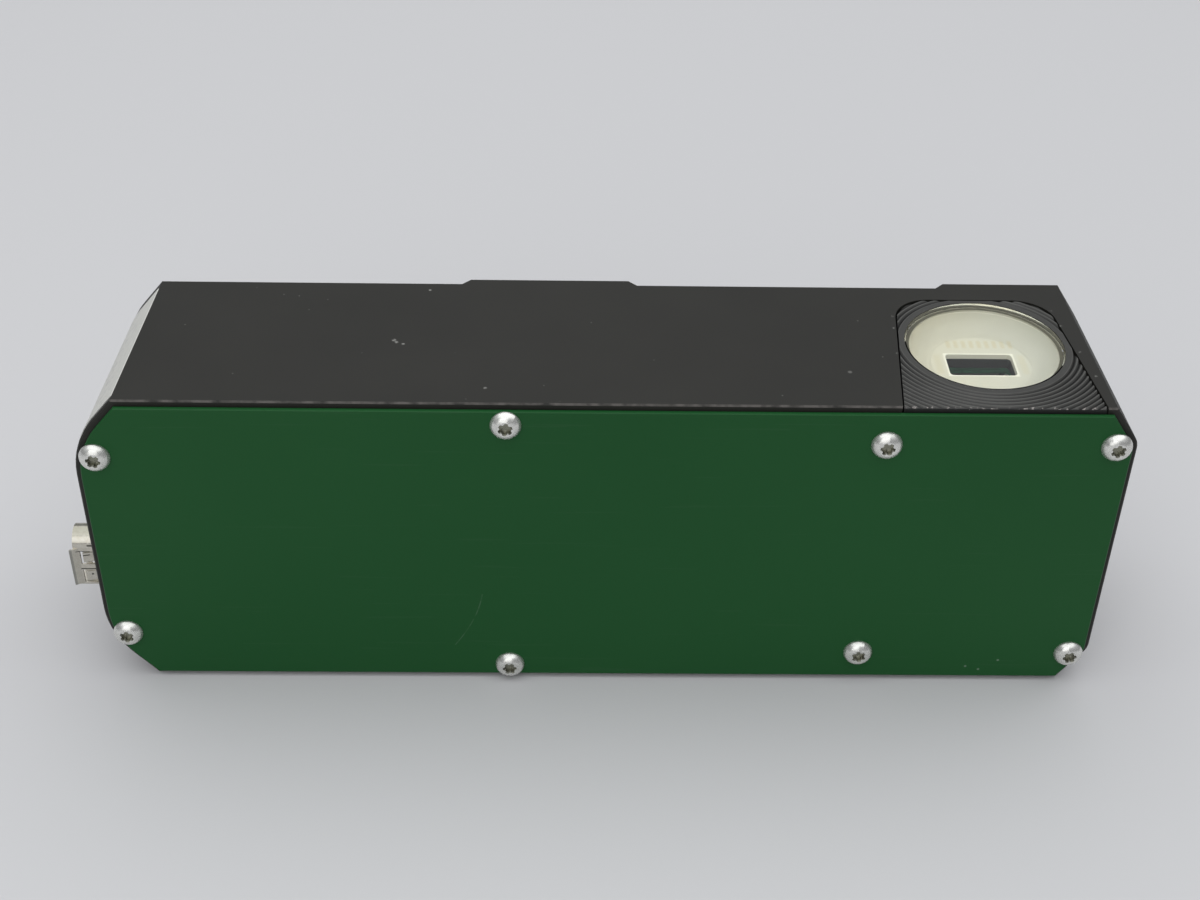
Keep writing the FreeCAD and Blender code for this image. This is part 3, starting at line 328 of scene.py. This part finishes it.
turned = Finish("turned black anodising", metallic=0.25)
tool = turned.noise(4.0, 2.0)
shade = turned.noise(0.25, 2.0)
crest_colour = turned.blend(shade, (0.058, 0.058, 0.054, 1), (0.090, 0.090, 0.084, 1))
groove_floor = 65.8
groove_crest = 66.15
# Painted shade: the groove floors are painted near black, fading to the crest colour at the top.
dark = turned.blend(turned.z.within(groove_floor, groove_crest), (0.016, 0.016, 0.016, 1), crest_colour)
window_x = 71.7
window_y = 0.2
bore_radius = 15.12
bore_edge = 65.95
bore_pitch = 0.8
land_radius = 16.2
lip_front = -20.25
lip_low = 65.85
aside = turned.x - window_x
ahead = turned.y - window_y
radius = (aside * aside + ahead * ahead) ** 0.5
# Painted highlight: the bore wall under the window is painted lighter, in fine rings.
bore = (radius < bore_radius) * (turned.z < bore_edge)
ridges = turned.z.every(bore_pitch).within(0.1, 0.3)
lit = turned.blend(ridges, (0.16, 0.152, 0.12, 1), (0.32, 0.305, 0.24, 1))
dark = turned.blend(bore, dark, lit)
# Painted shade: the smooth land round the bore is painted darker.
land = (radius > bore_radius) * (radius < land_radius)
dark = turned.blend(land * 0.6, dark, (0.022, 0.022, 0.020, 1))
lip = (turned.y < lip_front) * (turned.z > lip_low)
crumbs = turned.specks(0.6, 0.045, 0.10) + lip * turned.noise(1.3).within(0.55, 0.68)
dark = turned.blend(crumbs * 0.8, dark, (0.36, 0.33, 0.31, 1))
dress(turned.use(dark, 0.42 + tool * 0.12, tool, 0.01), "light_block", "lens_barrel")

blackened = Finish("blackened steel", metallic=0.7)
oil = blackened.noise(2.0, 2.0)
dress(blackened.use(blackened.blend(oil, (0.03, 0.03, 0.03, 1), (0.07, 0.07, 0.068, 1)),
                    0.36 + oil * 0.1, oil, 0.01),
      "block_screws", "bench_screws", "lens_lock_screw")

# Window
# A clear polished disc of glass that lies on its seal, flush in the block. Its thickness lifts
# the look of the dish below. The glasses of the lens and the sensor's cover are coated.


def clear_glass(name, nodes, tint, ior):
    """Refracting glass that lets the lamps' light straight through to what is behind it."""
    glass = Finish(name, roughness=0.015, ior=ior, transmission_weight=1.0, specular_ior_level=0.25)
    glass.shader.inputs["Base Color"].default_value = tint
    shadow = glass.add("ShaderNodeLightPath", {}, {}, "Is Shadow Ray")
    through = glass.add("ShaderNodeBsdfTransparent", {}, {"Color": tint})
    mixed = glass.add("ShaderNodeMixShader", {}, {0: shadow, 2: through})
    glass.tree.links.new(glass.shader.outputs[0], mixed.socket.node.inputs[1])
    glass.tree.links.new(mixed.socket, glass.tree.nodes["Material Output"].inputs["Surface"])
    dress(glass.material, *nodes)


clear_glass("clear window", ["window_disc"], (0.97, 0.98, 0.96, 1), 1.38)
clear_glass("coated lens glass", ["lens_glasses", "sensor_glass"], (0.78, 0.84, 0.95, 1), 1.5)

# Diffuser dish
# An opal moulding that spreads the light of the chips behind it. Painted light makes it warmer
# and lighter to the left, and the chips show through it as faint marks in rows beside the port.

port_length = 12.8
port_width = 7.1
dish_left = 56.0
dish_width = 30.0
dish_floor = 60.6
chip_pitch = 1.5
row_x = 72.5
row_y = 7.3
row_half = 6.9
side_reach = 8.1
opal = Finish("opal moulding")
milk = opal.noise(0.12, 1.0)
# Painted light: the dish is warmer and lighter towards the left.
across = opal.ramp((opal.x - dish_left) / dish_width, (0.0, 0.0), (1.0, 1.0))
cream = opal.blend(across, (0.72, 0.68, 0.53, 1), (0.63, 0.63, 0.55, 1))
cream = opal.blend(milk * 0.15, cream, (0.62, 0.60, 0.50, 1))
each = (opal.x - row_x).every(chip_pitch).within(0.55, 0.25)
chips = (opal.x.off(row_x) < row_half) * each * opal.y.off(row_y).within(1.5, 1.0)
sides = opal.x.off(window_x).off(side_reach).within(0.9, 0.4) * opal.y.off(0.4).within(3.6, 2.8)
cream = opal.blend((chips * 0.55 + sides * 0.3) * (opal.z < dish_floor), cream, (0.60, 0.53, 0.33, 1))
# Painted highlight: a bright rim round the port.
beyond = opal.greater(opal.x.off(window_x) - port_length / 2, opal.y.off(window_y) - port_width / 2)
cream = opal.blend(beyond.within(0.5, 0.2), cream, (0.90, 0.88, 0.76, 1))
dress(opal.use(cream, 0.32 + milk * 0.08, milk, 0.01), "diffuser_dish")

# Port collar
# A short rectangular wall under the dish's port keeps the light of the chips out of the lens's
# view. It is moulded in the dish's plastic and stands on the light board. Its near black colour
# is painted shade for the deep port.

port_corner = 0.0008
collar_wall = 0.0008
collar_top = 0.0595
collar_bottom = 0.0575
bpy.ops.object.select_all(action="DESELECT")
bpy.ops.mesh.primitive_plane_add(size=1.0, location=(window_x / 1000, window_y / 1000, collar_top))
collar = bpy.context.object
collar.name = "port_collar"
collar.scale = (port_length / 1000 + 2 * collar_wall, port_width / 1000 + 2 * collar_wall, 1)
bpy.ops.object.transform_apply(location=True, rotation=True, scale=True)
bpy.ops.object.mode_set(mode="EDIT")
bpy.ops.mesh.select_all(action="SELECT")
bpy.ops.mesh.bevel(offset=port_corner + collar_wall, segments=6, affect="VERTICES")
bpy.ops.mesh.select_all(action="SELECT")
bpy.ops.mesh.inset(thickness=collar_wall)
bpy.ops.mesh.delete(type="FACE")
bpy.ops.mesh.select_all(action="SELECT")
bpy.ops.mesh.extrude_region_move(TRANSFORM_OT_translate={"value": (0, 0, collar_bottom - collar_top)})
bpy.ops.mesh.select_all(action="SELECT")
bpy.ops.mesh.normals_make_consistent(inside=False)
bpy.ops.object.mode_set(mode="OBJECT")
olive = Finish("darkened moulding")
collar_shade_mottle = olive.noise(0.8, 2.0)
# Painted shade: the collar is near black all over.
collar.data.materials.append(
    olive.use(olive.blend(collar_shade_mottle, (0.004, 0.005, 0.005, 1), (0.008, 0.010, 0.009, 1)), 0.6, collar_shade_mottle, 0.01))
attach(collar, "root")

# Circuit boards
# Woven laminate under a green mask. One is round below the dish and carries the light's chips
# under pale phosphor, one stands behind the lens, and the long one carries the socket on the
# pillars at the back.

mask = Finish("green solder mask", ior=1.5)
weave = mask.noise(2.2, 2.0)
traces = mask.ramp(mask.noise(0.5, 0.0, (1, 1, 3)), (0.48, 0.0), (0.52, 1.0))
laminate = mask.blend(traces, (0.010, 0.110, 0.045, 1), (0.016, 0.155, 0.065, 1))
dress(mask.use(laminate, 0.30 + weave * 0.08, traces * 0.6 + weave * 0.4, 0.02),
      "light_board", "sensor_board", "main_board")

phosphor = Finish("pale phosphor")
spot = phosphor.noise(3.0, 1.0)
dress(phosphor.use(phosphor.blend(spot, (0.72, 0.62, 0.28, 1), (0.88, 0.80, 0.45, 1)), 0.35, spot, 0.01),
      "light_leds")

# Optics bench and mirror
# A cast bench, milled on its seats, carries a front-silvered mirror under a spring clip, the
# lens in its pillow block and the sensor board on four posts.

cast = Finish("cast and milled aluminium", metallic=0.85)
skin_noise = cast.noise(1.4, 4.0)
dress(cast.use(cast.blend(skin_noise, (0.42, 0.42, 0.42, 1), (0.58, 0.58, 0.57, 1)),
               0.40 + skin_noise * 0.18, skin_noise, 0.04), "optics_bench")

silver = Finish("front silvering", metallic=1.0)
haze = silver.noise(0.5, 1.0)
dress(silver.use(silver.blend(haze, (0.42, 0.47, 0.58, 1), (0.52, 0.56, 0.66, 1)), 0.03 + haze * 0.03),
      "fold_mirror")

spring = Finish("spring strip", metallic=0.9)
roll = spring.noise(4.0, 2.0, (1, 0.1, 1))
dress(spring.use(spring.blend(roll, (0.40, 0.40, 0.40, 1), (0.55, 0.55, 0.54, 1)), 0.3 + roll * 0.1),
      "mirror_clip")

# Chips, cans and plugs on the boards
# Moulded epoxy packages and drawn cans are soldered to the boards. A silicone pad takes the
# processor's heat to the body. Nylon headers and plugs hold the polyimide ribbon and the lead.

epoxy = Finish("moulded epoxy")
fine = epoxy.noise(6.0, 2.0)
dress(epoxy.use(epoxy.blend(fine, (0.018, 0.018, 0.018, 1), (0.035, 0.035, 0.034, 1)), 0.6, fine, 0.015),
      "image_sensor", "processor_chip", "memory_chips", "power_inductors")

pad = Finish("filled silicone")
filler = pad.noise(3.0, 3.0)
dress(pad.use(pad.blend(filler, (0.28, 0.30, 0.35, 1), (0.40, 0.42, 0.47, 1)), 0.8, filler, 0.03),
      "thermal_pad")

can = Finish("drawn can", metallic=0.9)
draw = can.noise(2.0, 2.0, (1, 0.1, 1))
dress(can.use(can.blend(draw, (0.58, 0.58, 0.58, 1), (0.76, 0.76, 0.76, 1)), 0.25 + draw * 0.1),
      "board_capacitors")

nylon = Finish("moulded nylon")
flow = nylon.noise(0.9, 2.0)
dress(nylon.use(nylon.blend(flow, (0.70, 0.66, 0.54, 1), (0.80, 0.76, 0.64, 1)), 0.5, flow, 0.01),
      "board_headers", "power_plugs")

film = Finish("polyimide film")
layer = film.noise(1.0, 2.0, (0.2, 1, 1))
dress(film.use(film.blend(layer, (0.42, 0.20, 0.035, 1), (0.58, 0.30, 0.06, 1)), 0.22 + layer * 0.06),
      "sensor_ribbon")

# Data socket
# A nickel-plated sheet shell, folded and flared at its mouth, with spring fingers that grip
# the plug. A pale moulded tongue inside it carries gold-flashed contacts.

nickel = Finish("satin nickel plate", metallic=0.85)
film_noise = nickel.noise(1.2, 3.0)
smudge_and_shade = nickel.blend(film_noise, (0.46, 0.43, 0.36, 1), (0.66, 0.64, 0.58, 1))
face_y = -13.8
mouth_x = -103.25
upper_lip = 26.4
face = nickel.y < face_y
slots = 0
finger_slots = ((27.15, -100.3, -96, 0.16), (25.8, -102.6, -99.9, 0.08), (24.7, -102.0, -96, 0.13),
                (21.43, -102.2, -96, 0.13), (19.9, -100.4, -99.7, 0.22))
for row, begin, end, half in finger_slots:
    slots = slots + (nickel.z.off(row) < half) * (nickel.x > begin) * (nickel.x < end)
smudge_and_shade = nickel.blend(slots * face * 0.9, smudge_and_shade, (0.02, 0.02, 0.016, 1))
# Painted shade: the outer edge of the flared mouth is painted darker.
edge = (nickel.x < mouth_x) * 0.6
smudge_and_shade = nickel.blend(edge, smudge_and_shade, (0.20, 0.21, 0.20, 1))
# Painted reflection: a dark olive band along the front of the shell's rounded top.
reflection_band = nickel.y.within(-13.9, -12.4) * (1 - nickel.y.within(-11.6, -9.6)) * (nickel.z > upper_lip)
smudge_and_shade = nickel.blend(reflection_band * 0.5, smudge_and_shade, (0.17, 0.18, 0.12, 1))
dress(nickel.use(smudge_and_shade, 0.16 + film_noise * 0.14, film_noise, 0.01), "socket_shell")

polyester = Finish("moulded polyester")
gate = polyester.noise(1.1, 2.0)
dress(polyester.use(polyester.blend(gate, (0.66, 0.65, 0.58, 1), (0.78, 0.77, 0.71, 1)), 0.45, gate, 0.01),
      "socket_insulator")

gold = Finish("gold flash", metallic=1.0)
wipe = gold.noise(3.0, 2.0)
dress(gold.use(gold.blend(wipe, (0.68, 0.50, 0.20, 1), (0.82, 0.64, 0.30, 1)), 0.22 + wipe * 0.1),
      "socket_contacts")

# Blank label
# A plain white film label that wraps the upper left corner on to the end. It is left bare, and
# it is darker in patches near the corner's fold.

fold_x = -92.0
label = Finish("white label film")
fibre = label.noise(2.6, 3.0)
white = label.blend(fibre, (0.54, 0.54, 0.50, 1), (0.62, 0.62, 0.58, 1))
# The label is darker in patches near the corner's fold.
fold_patches = label.x.off(fold_x).within(3.4, 0.3) * label.noise(1.1, 4.0, (1, 0.6, 1)).within(0.48, 0.68)
white = label.blend(fold_patches * 0.42, white, (0.26, 0.26, 0.27, 1))
dress(label.use(white, 0.45, fibre, 0.01), "end_label")

# Camera, floor and lamps
# The camera stands in front and above. The floor is plain and pale out to the backdrop, broad
# soft lamps light the object at a plain level, and darker walls give the metal its contrast.

pitch = math.radians(90 - 36.371)
yaw = math.radians(-1.205)
roll_angle = math.radians(1.158)
view = bpy.data.objects.new("view", bpy.data.cameras.new("view"))
bpy.context.scene.collection.objects.link(view)
view.data.sensor_width = 36.0
view.data.lens = 52.28
view.data.clip_start = 0.01
view.location = (-0.00648, -0.27633, 0.24446)
turn = Matrix.Rotation(yaw, 3, "Z") @ Matrix.Rotation(pitch, 3, "X") @ Matrix.Rotation(roll_angle, 3, "Z")
view.rotation_euler = turn.to_euler()
bpy.context.scene.camera = view

bpy.ops.object.select_all(action="DESELECT")
bpy.ops.mesh.primitive_plane_add(size=4.0, location=(0, 0, 0))
floor = bpy.context.object
floor.name = "floor"
paper = Finish("pale floor", roughness=0.8)
paper.shader.inputs["Base Color"].default_value = (0.58, 0.58, 0.59, 1)
backdrop = (0.66, 0.67, 0.69, 1)
fade_begin = 450
fade_end = 1000
far = ((paper.x * paper.x + paper.y * paper.y) ** 0.5).within(fade_begin, fade_end)
seen = paper.add("ShaderNodeLightPath", {}, {}, "Is Camera Ray")
glow = paper.add("ShaderNodeEmission", {}, {"Color": backdrop})
sheet = paper.add("ShaderNodeMixShader", {}, {0: far * seen, 2: glow})
paper.tree.links.new(paper.shader.outputs[0], sheet.socket.node.inputs[1])
paper.tree.links.new(sheet.socket, paper.tree.nodes["Material Output"].inputs["Surface"])
floor.data.materials.append(paper.material)


def soft_lamp(name, size, power, place, aim):
    """A broad square lamp, turned to face a place."""
    lamp = bpy.data.objects.new(name, bpy.data.lights.new(name, "AREA"))
    bpy.context.scene.collection.objects.link(lamp)
    lamp.data.size = size
    lamp.data.energy = power
    lamp.location = place
    lamp.rotation_euler = (Vector(aim) - Vector(place)).to_track_quat("-Z", "Y").to_euler()


object_middle = (0, 0, 0.03)
soft_lamp("overhead softbox", 1.9, 9.8, (0.05, 0.12, 1.05), object_middle)
soft_lamp("front fill", 0.9, 3.2, (-0.25, -0.90, 0.55), object_middle)

world = bpy.data.worlds.new("studio")
bpy.context.scene.world = world
world.use_nodes = True
sky = world.node_tree.nodes["Background"]
heading = world.node_tree.nodes.new("ShaderNodeTexCoord")
height = world.node_tree.nodes.new("ShaderNodeSeparateXYZ")
walls = world.node_tree.nodes.new("ShaderNodeValToRGB")
wall_shades = ((0.30, 0.30), (0.85, 1.0))
for stop, (position, shade) in zip(walls.color_ramp.elements, wall_shades):
    stop.position = position
    stop.color = (0.95 * shade, 0.97 * shade, shade, 1)
world.node_tree.links.new(heading.outputs["Generated"], height.inputs[0])
world.node_tree.links.new(height.outputs["Z"], walls.inputs[0])
world.node_tree.links.new(walls.outputs[0], sky.inputs["Color"])
sky.inputs["Strength"].default_value = 0.75
plain = world.node_tree.nodes.new("ShaderNodeBackground")
plain.inputs["Color"].default_value = backdrop
ray = world.node_tree.nodes.new("ShaderNodeLightPath")
either = world.node_tree.nodes.new("ShaderNodeMixShader")
world.node_tree.links.new(ray.outputs["Is Camera Ray"], either.inputs[0])
world.node_tree.links.new(sky.outputs[0], either.inputs[1])
world.node_tree.links.new(plain.outputs[0], either.inputs[2])
world.node_tree.links.new(either.outputs[0], world.node_tree.nodes["World Output"].inputs["Surface"])
bpy.context.scene.view_settings.view_transform = "Standard"
